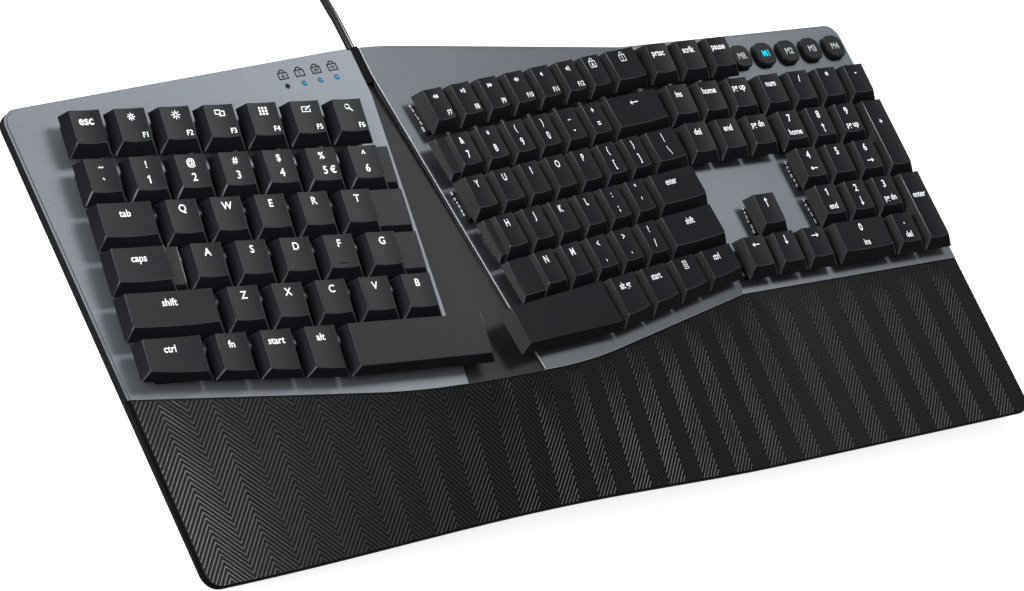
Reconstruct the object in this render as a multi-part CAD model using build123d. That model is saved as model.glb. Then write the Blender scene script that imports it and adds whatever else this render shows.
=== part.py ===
from build123d import *
import math
import os

# Full-size split and tented keyboard with a full-width palm rest.
# Millimetres. X right, Y to the back, Z up, origin on the desk under the middle of the body.

os.makedirs("parts", exist_ok=True)

# Key fields
key_pitch = 19.05
function_row_gap = 2.0
left_inner_column = 7.47
right_inner_column = -0.43
left_end_column = 7.25
right_start_column = -0.31
nav_offset = -3.094
pad_columns = 4
tent_angle = 8.2
split_angle = 8.0

# Margins of the deck round the key fields
side_margin = 16.2
ridge_margin = 10.82
pad_margin_left = 1.76
pad_margin_right = 4.1
pad_back_margin = 4.45
pad_front_margin = 3.4
right_field_margin = 9.4
left_field_drop = 3.55
right_field_drop = 22.45
left_front_key_margin = 4.4
right_front_key_margin = 5.0

# Body
palm_depth = 77.55
deck_height = 14.8
corner_radius = 6.8
ridge_round = 140.0
plate_thickness = 1.6
rim_height = 4.0
case_wall = 2.0
case_underside = 1.2
tub_inset_side = 12.0
tub_inset_front = 9.0
rim_overhang = 2.5
rim_overhang_front = 5.0
rim_bottom = 10.8
rim_lip = 1.0
rim_lip_drop = 0.35
rim_flange = 4.0
least_radius = 1.5
plate_edge_gap = 0.15
plate_joint = 0.15
seat_gap = 0.02
panel_step = 1.0
panel_thickness = 2.4
panel_gap = 0.25
seam_rib_gap = 0.4
seam_rib_drop = 0.5

# Palm rest
seam_slope = 0.2015
seam_round = 343.0
palm_front_height = 13.3
palm_hump = 8.5
palm_hump_reach = 150.0
palm_edge_chamfer = 2.2
palm_pad_thickness = 1.6
palm_pad_chamfer = 0.6
palm_pad_front = 1.5
palm_pad_side = 0.8
palm_front_rim = 2.4
palm_back_overlap = 6.0
palm_sections = 28
palm_gap = 0.3

# Keycaps
key_gap = 1.0
key_height = 9.2
cap_skirt_drop = 4.8
cap_side_inset = 2.765
cap_back_inset = 0.2
cap_front_inset = 4.3
cap_steep_front_inset = 2.3
cap_front_fall = 0.62
cap_wall = 1.2
cap_crown = 1.3
cap_dish = 0.35
cap_step_drop = 1.9
cap_step_outer_inset = 1.2
cap_step_inner_inset = 1.0
cap_probe = 0.03
stem_width = 5.0
stem_depth = 3.6
stem_below = 1.0
stem_bite = 0.4
homing_width = 4.2
homing_depth = 0.6
homing_height = 0.35
homing_front = 1.6

# Switches and boards, measured from the top of the plate
switch_width = 13.8
switch_fit = 0.1
switch_foot_above = 0.3
switch_top_width = 11.4
switch_above = 2.2
switch_below = 4.8
stem_clearance = 0.35
well_floor = 0.6
board_thickness = 1.6
board_gap = 0.05
board_inset = 8.5
board_seam_margin = 4.5
board_gap_x = 1.0
board_inner_margin = 0.1

# Lamps and macro buttons
lamp_count = 4
lamp_spacing = 7.8
lamp_reach = 42.1
lamp_back_margin = 11.75
lamp_radius = 1.1
lamp_fit = 0.08
lamp_depth = 1.6
button_count = 5
button_spacing = 15.6
button_side_margin = 10.5
button_back_margin = 12.55
button_width = 11.4
button_corner = 4.2
button_fit = 0.25
button_height = 3.0
button_below = 3.0
button_travel = 1.0
button_collar_width = 12.3
button_collar = 0.8
button_chamfer = 0.5

# Screws, controller board, feet
screw_head_radius = 3.0
screw_head_height = 1.8
screw_radius = 1.4
screw_length = 6.5
screw_end_gap = 1.0
screw_recess = 2.2
screw_clearance = 0.06
boss_radius = 4.0
boss_clearance = 0.6
standoff_radius = 2.2
standoff_margin = 4.0
controller_drop = 11.34
controller_width = 9.0
controller_length = 30.0
controller_gap = 4.0
chip_size = 6.0
chip_height = 1.0
chip_front = 8.0
socket_width = 5.0
socket_length = 4.0
socket_height = 2.6
rubber_length = 26.0
rubber_width = 9.0
rubber_front_side = 34.0
rubber_front_margin = 20.85
rubber_back_side = 29.0
rubber_back_margin = 24.85
foot_side_margin = 69.0
foot_back_margin = 56.85
foot_length = 30.0
foot_width = 18.0
foot_thickness = 3.2
foot_axis_z = 3.4
foot_pin_radius = 1.5
foot_pin_clearance = 0.08
foot_pin_length = 2.4
foot_bay_gap = 0.6
bay_depth = 5.0
bay_roof = 1.5
bay_wall = 3.2
finger_gap = 5.0

# Cable and its boot, heights measured down from the deck's crown
cable_side = 4.0
cable_drop = 2.04
cable_diameter = 3.5
left_plate_reach = 7.1
right_plate_reach = 3.7
cover_length = 16.85
cover_gap = 0.2
cover_left_rise = 0.06
cover_right_rise = 1.56
boot_half = 3.6
boot_drop = 6.14
boot_left_drop = 1.74
boot_right_drop = 0.74
boot_fit = 0.2
boot_overhang = 0.25
coil_layer_half_turns = (6, 6, 6, 5)
coil_pitch = 4.6
coil_outer = 27.0
coil_gap = 107.15
cable_level_run = 46.0
cable_fall_run = 31.5
tail_level_run = 24.0
tail_fall_run = 30.0
tail_end_run = 26.0
plug_axis = 4.0
plug_width = 15.0
plug_housing_length = 28.0
plug_chamfer = 1.2
plug_length = 18.5
plug_shell_width = 12.0
plug_shell_height = 4.5
plug_shell_wall = 0.3
plug_floor = 4.0
plug_tongue_height = 1.9
plug_tongue_short = 2.0

# Worked out from the sizes above
tent_slope = math.tan(math.radians(tent_angle))
plan_pitch = key_pitch * math.cos(math.radians(split_angle)) * math.cos(math.radians(tent_angle))
half_run = side_margin + left_inner_column * plan_pitch + ridge_margin
pad_run = pad_margin_left + (pad_columns - nav_offset) * key_pitch + pad_margin_right
body_width = 2 * half_run + pad_run
body_depth = pad_back_margin + function_row_gap + 6 * key_pitch + pad_front_margin + palm_depth
half_width = body_width / 2
half_depth = body_depth / 2
ridge_x = half_run - half_width
crease_x = 2 * half_run - half_width
far = 2 * body_width

# Where the three key fields start, as the plan position of each first cell's back left corner
pad_y = half_depth - pad_back_margin - function_row_gap - key_pitch
pad_field = (crease_x + pad_margin_left - nav_offset * key_pitch, pad_y)
left_field = (side_margin - half_width, pad_y - left_field_drop)
right_field = (ridge_x + right_field_margin, pad_y - right_field_drop)
seam_flat_y = pad_y - 5 * key_pitch - pad_front_margin
palm_middle_y = seam_flat_y - palm_depth / 2

left_plate_end = ridge_x - left_plate_reach
right_plate_end = ridge_x - right_plate_reach
cable_x = ridge_x - cable_side
cover_front = half_depth - cover_length
boot_back = half_depth - boot_overhang
coil_entry_y = half_depth + coil_gap
lamp_places = [
    (ridge_x - lamp_reach + i * lamp_spacing, half_depth - lamp_back_margin) for i in range(lamp_count)
]
button_places = [
    (half_width - button_side_margin - i * button_spacing, half_depth - button_back_margin)
    for i in range(button_count)
]
screw_places = (
    (ridge_x - 3.65 * key_pitch, pad_y + 7.95),
    (ridge_x + 2.65 * key_pitch, pad_y + 7.15),
    (pad_field[0] - 1.61 * key_pitch, pad_y - 2.485 * key_pitch),
    (ridge_x - 4.5, pad_y - 3.01 * key_pitch),
    (37.0 - half_width, palm_middle_y),
    (ridge_x + 0.5, palm_middle_y - 13.0),
    (crease_x - 36.0, palm_middle_y),
    (half_width - 37.0, palm_middle_y),
)
foot_x = half_width - foot_side_margin
foot_y = half_depth - foot_back_margin
rubber_places = [
    (side * (half_width - inset), y)
    for y, inset in (
        (rubber_front_margin - half_depth, rubber_front_side),
        (half_depth - rubber_back_margin, rubber_back_side),
    )
    for side in (-1, 0, 1)
]
panel_half_span = ridge_round * math.sin(math.radians(tent_angle))
parts = {}


def save(name, shape):
    """Keep a node for export under its name."""
    parts[name] = shape


def box_between(low, high):
    """A box from its low corner to its high corner."""
    size = [b - a for a, b in zip(low, high)]
    return Pos(*low) * Box(*size, align=(Align.MIN, Align.MIN, Align.MIN))


def one_solid(shape):
    """The largest solid of a shape."""
    return max(shape.solids(), key=lambda s: s.volume)


def field_plane(start, side):
    """The plate's plane of one key field: side -1 rises to the right, +1 falls to the right, 0 is flat."""
    tilt = math.radians(tent_angle) * side
    turn = math.radians(split_angle) * side
    along = (math.cos(turn) * math.cos(tilt), math.sin(turn), -math.cos(turn) * math.sin(tilt))
    normal = (math.sin(tilt), 0, math.cos(tilt))
    run = {-1: start[0] + half_width, 0: 0, 1: crease_x - start[0]}[side]
    return Plane(origin=(start[0], start[1], deck_height + run * tent_slope), x_dir=along, z_dir=normal)


left_plane = field_plane(left_field, -1)
right_plane = field_plane(right_field, 1)
pad_plane = field_plane(pad_field, 0)


def deck_z(x):
    """Height of the deck's top surface, with the ridge rounded off."""
    reach = abs(x - ridge_x)
    if x >= crease_x:
        return deck_height
    apex = deck_height + (ridge_x + half_width) * tent_slope
    if reach >= panel_half_span:
        return apex - reach * tent_slope
    centre = apex - panel_half_span * tent_slope - ridge_round * math.cos(math.radians(tent_angle))
    return centre + math.sqrt(ridge_round ** 2 - reach ** 2)


crown_z = deck_z(ridge_x)
controller_z = crown_z - controller_drop
boot_low = crown_z - boot_drop
cable_height = crown_z - cable_drop


def under_deck(drop):
    """Everything below the deck's top surface, lowered by drop."""
    left = ridge_x - panel_half_span
    right = ridge_x + panel_half_span
    spring_z = deck_z(left) - drop
    side_z = deck_height - half_width * tent_slope - drop
    with BuildPart() as solid:
        with BuildSketch(Plane.XZ.offset(-body_depth)):
            with BuildLine():
                Line((-body_width, side_z), (left, spring_z))
                ThreePointArc((left, spring_z), (ridge_x, crown_z - drop), (right, spring_z))
                Polyline(
                    (right, spring_z),
                    (crease_x, deck_height - drop),
                    (body_width, deck_height - drop),
                    (body_width, -far),
                    (-body_width, -far),
                    (-body_width, side_z),
                )
            make_face()
        extrude(amount=2 * body_depth)
    return solid.part


def body_block(inset_side, inset_front, low=-far, high=far):
    """The body's rounded rectangle, drawn in by the insets, from low to high."""
    width = body_width - 2 * inset_side
    depth = body_depth - inset_side - inset_front
    radius = max(corner_radius - inset_side, least_radius)
    outline = Pos(0, (inset_front - inset_side) / 2) * RectangleRounded(width, depth, radius)
    return Pos(0, 0, low) * extrude(outline, high - low)


def pillar(x, y, low, high, radius):
    """An upright round bar."""
    return Pos(x, y, low) * Cylinder(radius, high - low, align=(Align.CENTER, Align.CENTER, Align.MIN))


def seam_y(x):
    """Where the plates end and the palm rest starts."""
    corner = seam_flat_y - (crease_x - ridge_x) * seam_slope
    reach = abs(x - ridge_x)
    bend = seam_round * math.sin(math.atan(seam_slope))
    if x >= crease_x:
        return seam_flat_y
    if reach >= bend:
        return corner + reach * seam_slope
    centre = corner + bend * seam_slope + math.sqrt(seam_round ** 2 - bend ** 2)
    return centre - math.sqrt(seam_round ** 2 - reach ** 2)


def behind_seam(gap):
    """The space behind the seam, kept clear of it by gap."""
    bend = seam_round * math.sin(math.atan(seam_slope))
    left = ridge_x - bend
    right = ridge_x + bend
    wide = body_width
    with BuildPart() as solid:
        with BuildSketch():
            with BuildLine():
                Line((-wide, seam_y(-wide) + gap), (left, seam_y(left) + gap))
                ThreePointArc(
                    (left, seam_y(left) + gap), (ridge_x, seam_y(ridge_x) + gap), (right, seam_y(right) + gap)
                )
                Polyline(
                    (right, seam_y(right) + gap),
                    (crease_x, seam_flat_y + gap),
                    (wide, seam_flat_y + gap),
                    (wide, body_depth),
                    (-wide, body_depth),
                    (-wide, seam_y(-wide) + gap),
                )
            make_face()
        extrude(amount=2 * far)
    return Pos(0, 0, -far) * solid.part


def front_height(x):
    """Height of the palm rest's top edge along the front."""
    reach = min(abs(x - ridge_x) / palm_hump_reach, 1.0)
    return palm_front_height + palm_hump * (1 + math.cos(math.pi * reach)) / 2


def under_palm(drop_back, drop_front, chamfer=0.0):
    """Everything below the palm rest's surface, lowered at the seam and at the front edge."""
    stations = [-half_width + body_width * i / palm_sections for i in range(palm_sections + 1)]
    back_y = seam_flat_y + palm_back_overlap
    sections = []
    for x in stations:
        front_y = -half_depth
        run = seam_y(x) - front_y
        top_back = deck_z(x) - drop_back
        top_front = front_height(x) - drop_front
        rise = (top_back - top_front) / run
        points = [
            (x, back_y, top_front + rise * (back_y - front_y)),
            (x, front_y + palm_edge_chamfer, top_front + rise * palm_edge_chamfer),
            (x, front_y, top_front - chamfer),
            (x, front_y, -far),
            (x, back_y, -far),
        ]
        wire = Wire.make_polygon([Vector(*p) for p in points], close=True)
        sections.append(Face(wire))
    return Solid.make_loft([f.outer_wire() for f in sections], ruled=True)


def slice_x(low, high):
    """All space between two X values."""
    return box_between((low, -far, -far), (high, far, far))


def plate(side, low, high):
    """One flat top plate between two X values, before its holes and inner edge are cut."""
    plane = {-1: left_plane, 0: pad_plane, 1: right_plane}[side]
    slab = plane * box_between((-far, -far, -plate_thickness), (far, far, 0))
    edge = rim_lip + plate_edge_gap
    return slab & (body_block(edge, edge) & behind_seam(0)) & slice_x(low, high)


# Key layout: name of the node, row, first column, width, and how far a low step reaches past the crown
# on the left and on the right, all in key pitches. Row -1 is the function row, row 4 the bottom row.
def run_of(node, row, start, count, width=1.0):
    """A run of equal keys, one after the other."""
    return [(node, row, start + i * width, width, 0.0, 0.0) for i in range(count)]


left_keys = (
    [("escape_key", -1, 0, 1, 0, 0)]
    + run_of("left_function_keys", -1, 1, 6)
    + run_of("left_number_keys", 0, 0, 6)
    + [("left_number_keys", 0, 6, 1, 0, left_end_column - 7)]
    + [("tab_key", 1, 0, 1.5, 0, 0)]
    + run_of("left_upper_letter_keys", 1, 1.5, 4)
    + [("left_upper_letter_keys", 1, 5.5, 1, 0, left_end_column - 6.5)]
    + [("caps_lock_key", 2, 0, 1.5, 0, 0.25)]
    + run_of("left_home_letter_keys", 2, 1.75, 4)
    + [("left_home_letter_keys", 2, 5.75, 1, 0, left_end_column - 6.75)]
    + [("left_shift_key", 3, 0, 2.25, 0, 0)]
    + run_of("left_lower_letter_keys", 3, 2.25, 5)
    + [("left_control_key", 4, 0.08, 1.6, 0, 0)]
    + run_of("left_modifier_keys", 4, 1.68, 3)
    + [("left_space_key", 4, 4.68, 3.46, 0, 0)]
)
right_keys = (
    run_of("right_function_keys", -1, 0, 7)
    + [("right_function_keys", -1, 7, 1.45, 0, 0)]
    + [("right_number_keys", 0, 0, 1, -right_start_column, 0)]
    + run_of("right_number_keys", 0, 1, 5)
    + [("backspace_key", 0, 6, 2.32, 0, 0)]
    + run_of("right_upper_letter_keys", 1, right_start_column, 7)
    + [("backslash_key", 1, right_start_column + 7, 1.46, 0, 0)]
    + [("right_home_letter_keys", 2, -0.09, 1, -0.09 - right_start_column, 0)]
    + run_of("right_home_letter_keys", 2, 0.91, 5)
    + [("enter_key", 2, 5.91, 2.08, 0, 0)]
    + [("right_lower_letter_keys", 3, 0.46, 1, 0.46 - right_start_column, 0)]
    + run_of("right_lower_letter_keys", 3, 1.46, 4)
    + [("right_shift_key", 3, 5.46, 2.35, 0, 0)]
    + [("right_space_key", 4, -1.25, 3.71, 0, 0)]
    + run_of("right_modifier_keys", 4, 2.46, 3, 1.22)
    + [("right_control_key", 4, 6.12, 1.53, 0, 0)]
)
pad_keys = (
    run_of("system_keys", -1, nav_offset, 3)
    + run_of("navigation_keys", 0, nav_offset, 3)
    + run_of("navigation_keys", 1, nav_offset, 3)
    + [("arrow_up_key", 3, nav_offset + 1, 1, 0, 0)]
    + [("arrow_left_key", 4, nav_offset, 1, 0, 0)]
    + [("arrow_down_key", 4, nav_offset + 1, 1, 0, 0)]
    + [("arrow_right_key", 4, nav_offset + 2, 1, 0, 0)]
    + run_of("number_pad_keys", 0, 0, 4)
    + run_of("number_pad_keys", 1, 0, 3)
    + run_of("number_pad_keys", 2, 0, 3)
    + run_of("number_pad_keys", 3, 0, 3)
    + [("pad_zero_key", 4, 0, 2, 0, 0)]
    + [("number_pad_keys", 4, 2, 1, 0, 0)]
    + [("pad_plus_key", 1, 3, 1, 0, 0)]
    + [("pad_enter_key", 3, 3, 1, 0, 0)]
)
tall_keys = ("pad_plus_key", "pad_enter_key")
flat_top_keys = ("left_space_key", "right_space_key")
steep_front_keys = ("left_control_key", "left_modifier_keys", "left_space_key", "right_space_key")
homing_keys = (("left_home_letter_keys", 4.75), ("right_home_letter_keys", 0.91))
bottom_row = 4


def bottom_row_depth(side, column):
    """Depth of a bottom row key at a column: its front follows the palm rest's seam."""
    if side == 0:
        return key_pitch
    plane = left_plane if side < 0 else right_plane
    margin = left_front_key_margin if side < 0 else right_front_key_margin
    point = plane.from_local_coords(Vector(column * key_pitch, -bottom_row * key_pitch, 0))
    low = 0.0
    high = 4 * key_pitch
    while high - low > 0.0001:
        middle = (low + high) / 2
        place = point - plane.y_dir * middle
        if place.Y > seam_y(place.X) + margin:
            low = middle
        else:
            high = middle
    return low


def key_depths(side, node, row, start, width):
    """A key cell's depth at its left and at its right end."""
    if row == bottom_row:
        return [bottom_row_depth(side, column) for column in (start + cap_probe, start + width - cap_probe)]
    depth = 2 * key_pitch if node in tall_keys else key_pitch
    return [depth, depth]


def cell_back(row):
    """Where a row of cells begins, in its field's local frame."""
    return key_pitch + function_row_gap if row < 0 else -row * key_pitch


def switch_centre(side, node, row, start, width):
    """The middle of a key's switch in its field's local frame."""
    depth = min(key_depths(side, node, row, start, width))
    return ((start + width / 2) * key_pitch, cell_back(row) - depth / 2)


def keycap(side, node, row, start, width, step_left, step_right):
    """One key: a hollow wedge-sided cap with a dished top, on its stem, in its field's local frame."""
    left = start * key_pitch + key_gap / 2
    right = (start + width) * key_pitch - key_gap / 2
    back = cell_back(row) - key_gap / 2
    fronts = [cell_back(row) - depth + key_gap / 2 for depth in key_depths(side, node, row, start, width)]
    top = key_height
    foot = key_height - cap_skirt_drop
    reach_left = left - step_left * key_pitch
    reach_right = right + step_right * key_pitch
    front_inset = cap_steep_front_inset if node in steep_front_keys else cap_front_inset
    fall = cap_front_fall / (back - max(fronts) - front_inset)

    def ring(z, l, r, b, front_left, front_right, slope):
        corners = ((l, b), (r, b), (r, front_right), (l, front_left))
        return Wire.make_polygon([Vector(x, y, z - slope * (b - y)) for x, y in corners], close=True)

    def wedge(l, r, crown, inset_left, inset_right):
        rise = (crown - foot) / cap_skirt_drop
        base = ring(foot, l, r, back, fronts[0], fronts[1], 0)
        lid = ring(
            crown,
            l + inset_left,
            r - inset_right,
            back - cap_back_inset * rise,
            fronts[0] + front_inset * rise,
            fronts[1] + front_inset * rise,
            fall,
        )
        return Solid.make_loft([base, lid], ruled=True)

    cap = Part() + wedge(left, right, top, cap_side_inset, cap_side_inset)
    step = top - cap_step_drop
    outer = cap_step_outer_inset
    inner = cap_step_inner_inset
    if step_left > 0:
        cap = cap + wedge(reach_left, left + key_pitch / 2, step, outer, inner)
    if step_right > 0:
        cap = cap + wedge(right - key_pitch / 2, reach_right, step, inner, outer)
    middle = (left + right) / 2
    if node not in flat_top_keys:
        half_crown = (right - left) / 2 - cap_side_inset
        dish_radius = half_crown ** 2 / (2 * cap_dish) + cap_dish / 2
        slant = math.atan(fall)
        dish_z = top - cap_dish + dish_radius / math.cos(slant)
        dish = Rot(90 + math.degrees(slant), 0, 0) * Cylinder(dish_radius, 8 * key_pitch)
        cap = cap - Pos(middle, back, dish_z) * dish
    if (node, start) in homing_keys:
        bar_y = fronts[0] + front_inset + homing_front
        bar_top = top - cap_dish - fall * (back - bar_y) + homing_height
        cap = cap + box_between(
            (middle - homing_width / 2, bar_y, bar_top - 2 * homing_height),
            (middle + homing_width / 2, bar_y + homing_depth, bar_top),
        )
    ceiling = top - cap_crown - cap_dish
    if step_left > 0 or step_right > 0:
        ceiling = step - cap_wall
    rise = (ceiling - foot) / cap_skirt_drop
    hollow_base = ring(
        foot,
        reach_left + cap_wall,
        reach_right - cap_wall,
        back - cap_wall,
        fronts[0] + cap_wall,
        fronts[1] + cap_wall,
        0,
    )
    hollow_lid = ring(
        ceiling,
        reach_left + cap_wall + cap_side_inset * rise,
        reach_right - cap_wall - cap_side_inset * rise,
        back - cap_wall - cap_back_inset * rise,
        fronts[0] + cap_wall + front_inset * rise,
        fronts[1] + cap_wall + front_inset * rise,
        fall,
    )
    cap = cap - Solid.make_loft([hollow_base, hollow_lid], ruled=True)
    stem_x, stem_y = switch_centre(side, node, row, start, width)
    post = box_between(
        (stem_x - stem_width / 2, stem_y - stem_depth / 2, -stem_below),
        (stem_x + stem_width / 2, stem_y + stem_depth / 2, ceiling + stem_bite),
    )
    return one_solid(cap + post)


fields = {-1: (left_plane, left_keys), 1: (right_plane, right_keys), 0: (pad_plane, pad_keys)}
field_names = {-1: "left", 1: "right", 0: "number_pad"}


def make_keys():
    """Every keycap, grouped by node."""
    groups = {}
    for side, (plane, keys) in fields.items():
        for key in keys:
            node = key[0]
            groups.setdefault(node, []).append(plane * keycap(side, *key))
    for node, caps in groups.items():
        save(node, caps[0] if len(caps) == 1 else Compound(children=caps))


def around(centre, half_x, half_y, low, high):
    """A block about an upright axis."""
    x, y = centre
    return box_between((x - half_x, y - half_y, low), (x + half_x, y + half_y, high))


def make_switches():
    """Switch housings, one node per field: a body in the plate, a narrower top and a well for the stem."""
    half = switch_width / 2 - switch_fit
    half_top = switch_top_width / 2
    well_x = stem_width / 2 + stem_clearance
    well_y = stem_depth / 2 + stem_clearance
    for side, (plane, keys) in fields.items():
        housings = []
        for node, row, start, width, _, _ in keys:
            centre = switch_centre(side, node, row, start, width)
            body = around(centre, half, half, -switch_below, switch_foot_above)
            top = around(centre, half_top, half_top, switch_foot_above, switch_above)
            well = around(centre, well_x, well_y, well_floor - switch_below, far)
            housings.append(plane * one_solid((body + top) - well))
        save(field_names[side] + "_switches", Compound(children=housings))


def switch_holes(side, plane, keys):
    """The square holes that the switches drop into."""
    half = switch_width / 2
    centres = [switch_centre(side, *key[:4]) for key in keys]
    return [plane * around(centre, half, half, -key_pitch, key_pitch) for centre in centres]


def inner_edge_cut(side, column):
    """A block that removes the plate on the centre panel's side of a line along the key columns."""
    x = column * key_pitch
    if side < 0:
        return left_plane * slice_x(x, far)
    return right_plane * slice_x(-far, x)


def make_plates():
    """The three top plates with their switch holes, button holes and lamp holes."""
    left = plate(-1, -body_width, left_plate_end) - inner_edge_cut(-1, left_inner_column)
    right = plate(1, right_plate_end, crease_x) - inner_edge_cut(1, right_inner_column)
    flat = plate(0, crease_x + plate_joint, body_width)
    for place in lamp_places:
        left = left - lamp_frame(place) * Cylinder(lamp_radius + lamp_fit, 4 * plate_thickness)
    for x, y in button_places:
        flat = flat - button_prism(x, y, 0, far, button_width + 2 * button_fit)
    for side, shape in ((-1, left), (1, right), (0, flat)):
        plane, keys = fields[side]
        for hole in switch_holes(side, plane, keys):
            shape = shape - hole
        save(field_names[side] + "_top_plate", one_solid(shape))


def button_prism(x, y, low, high, width):
    """An upright bar with the macro buttons' rounded square outline."""
    corner = button_corner + (width - button_width) / 2
    return Pos(x, y, low) * extrude(RectangleRounded(width, width, corner), high - low)


def lamp_frame(place):
    """Where a lock lamp stands on the left plate."""
    x, y = place
    return Pos(x, y, deck_z(x)) * Rot(0, -tent_angle, 0)


def between_plates(gap, drop):
    """The slot between the two plates' inner edges, kept clear of them by gap, above a lowered deck."""
    left_edge = left_inner_column * key_pitch + gap
    right_edge = right_inner_column * key_pitch - gap
    slot = (body_block(0, 0) & behind_seam(0)) - under_deck(drop)
    slot = slot - left_plane * slice_x(-far, left_edge)
    return slot - right_plane * slice_x(right_edge, far)


def make_centre_panel():
    """The panel between the two plates, a step below them and rounded over the ridge."""
    panel = between_plates(panel_gap, panel_step + panel_thickness) & under_deck(panel_step)
    panel = panel & box_between((-half_width, -half_depth, 0), (half_width, cover_front - panel_gap, far))
    save("centre_panel", one_solid(panel))


def make_palm_rest():
    """The ribbed pad and the thin tray under it."""
    clear = behind_seam(-palm_gap)
    outline = body_block(0, 0)
    top = under_palm(0, 0, palm_pad_chamfer)
    middle = under_palm(palm_pad_thickness, palm_pad_front)
    bottom = under_palm(rim_height, palm_front_rim)
    pad_outline = body_block(palm_pad_side, 0)
    save("palm_rest_pad", one_solid(((top - middle) & pad_outline) - clear))
    save("palm_rest_tray", one_solid(((middle - bottom) & outline) - clear))


def rounded_cone(side_low, front_low, z_low, side_high, front_high, z_high):
    """A block that widens from a lower rounded rectangle to an upper one."""
    rings = []
    for side, front, z in ((side_low, front_low, z_low), (side_high, front_high, z_high)):
        width = body_width - 2 * side
        depth = body_depth - side - front
        radius = max(corner_radius - side_high, least_radius)
        rings.append(Pos(0, (front - side) / 2, z) * RectangleRounded(width, depth, radius))
    return Solid.make_loft([r.face().outer_wire() for r in rings], ruled=True)


def tub(wall, floor_z):
    """The case's tapered outside, or with a wall its inside."""
    side = rim_overhang + wall
    front = rim_overhang_front + wall
    taper = rounded_cone(tub_inset_side + wall, tub_inset_front + wall, floor_z, side, front, rim_bottom)
    return Part() + taper + body_block(side, front, rim_bottom, far)


def make_case():
    """The bottom case: tub, flange and lip around the plates, rib at the seam, bosses and foot bays."""
    deck_seat = plate_thickness + seat_gap
    limit = (under_deck(deck_seat) & behind_seam(0)) + (
        under_palm(rim_height + seat_gap, palm_front_rim + seat_gap) - behind_seam(0)
    )
    walls = tub(0, case_underside) - tub(case_wall, case_underside + case_wall)
    rib_space = behind_seam(seam_rib_gap) - behind_seam(seam_rib_gap + case_wall)
    posts = Part() + walls + (rib_space & tub(seam_rib_drop, case_underside + seam_rib_drop))
    for x, y in screw_places:
        posts = posts + pillar(x, y, case_underside, far, boss_radius)
    case = posts & limit
    panel_room = between_plates(0, panel_step + panel_thickness + seat_gap)
    ring_outside = body_block(0, 0) & behind_seam(0)
    below_plates = under_deck(rim_height)
    flange = (ring_outside - body_block(rim_flange, rim_flange)) & (under_deck(deck_seat) - below_plates)
    lip = (ring_outside - body_block(rim_lip, rim_lip)) & (under_deck(rim_lip_drop) - below_plates)
    case = (case + flange + lip) - panel_room
    for y in (controller_front() + standoff_margin, controller_back() - standoff_margin):
        case = case + pillar(cable_x, y, case_underside, controller_z, standoff_radius)
    for x in (-foot_x, foot_x):
        case = case + foot_bay_block(x)
    for x in (-foot_x, foot_x):
        case = case - foot_bay_space(x)
    recess_top = case_underside + screw_recess
    for x, y in screw_places:
        case = case - pillar(x, y, 0, recess_top, screw_head_radius + screw_clearance)
        case = case - pillar(x, y, 0, recess_top + screw_length, screw_radius + screw_clearance)
    case = case - boot_space()
    for x, y in button_places:
        low = deck_height - button_below - button_travel - button_fit
        case = case - button_prism(x, y, low, far, button_collar_width + 2 * button_fit)
    save("bottom_case", one_solid(case))


def foot_bay_block(x):
    """The solid block around one foot bay."""
    half = foot_width / 2 + foot_bay_gap + bay_wall
    front = foot_y - foot_thickness / 2 - foot_bay_gap - bay_wall
    back = foot_y + foot_length + finger_gap + bay_wall
    return box_between(
        (x - half, front, case_underside), (x + half, back, case_underside + bay_depth + bay_roof)
    )


def foot_bay_space(x):
    """The room of one foot bay, with its hinge pin holes."""
    half = foot_width / 2 + foot_bay_gap
    front = foot_y - foot_thickness / 2 - foot_bay_gap
    back = foot_y + foot_length + finger_gap
    room = box_between((x - half, front, 0), (x + half, back, case_underside + bay_depth))
    pins = Pos(x, foot_y, foot_axis_z) * Rot(0, 90, 0) * Cylinder(
        foot_pin_radius + foot_pin_clearance, foot_width + 2 * foot_pin_length + 4 * foot_pin_clearance
    )
    return Part() + room + pins


def make_feet():
    """The two fold-out rear feet and the rubber pads."""
    for x, name in ((-foot_x, "left"), (foot_x, "right")):
        leg = box_between(
            (x - foot_width / 2, foot_y, foot_axis_z - foot_thickness / 2),
            (x + foot_width / 2, foot_y + foot_length, foot_axis_z + foot_thickness / 2),
        )
        knuckle = Pos(x, foot_y, foot_axis_z) * Rot(0, 90, 0) * Cylinder(foot_thickness / 2, foot_width)
        pin = Pos(x, foot_y, foot_axis_z) * Rot(0, 90, 0) * Cylinder(
            foot_pin_radius, foot_width + 2 * foot_pin_length
        )
        save(name + "_rear_foot", one_solid(Part() + leg + knuckle + pin))
    pads = []
    for x, y in rubber_places:
        pad = extrude(SlotOverall(rubber_length, rubber_width), case_underside)
        pads.append(one_solid(Pos(x, y, 0) * pad))
    save("rubber_feet", Compound(children=pads))


def make_screws():
    """The case screws in their bosses."""
    screws = []
    top = case_underside + screw_recess
    for x, y in screw_places:
        head = pillar(x, y, top - screw_head_height, top, screw_head_radius)
        shank = pillar(x, y, top - screw_head_height, top + screw_length - screw_end_gap, screw_radius)
        screws.append(one_solid(Part() + head + shank))
    save("case_screws", Compound(children=screws))


def controller_back():
    """The back end of the controller board."""
    return cover_front - controller_gap


def controller_front():
    """The front end of the controller board."""
    return controller_back() - controller_length


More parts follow.
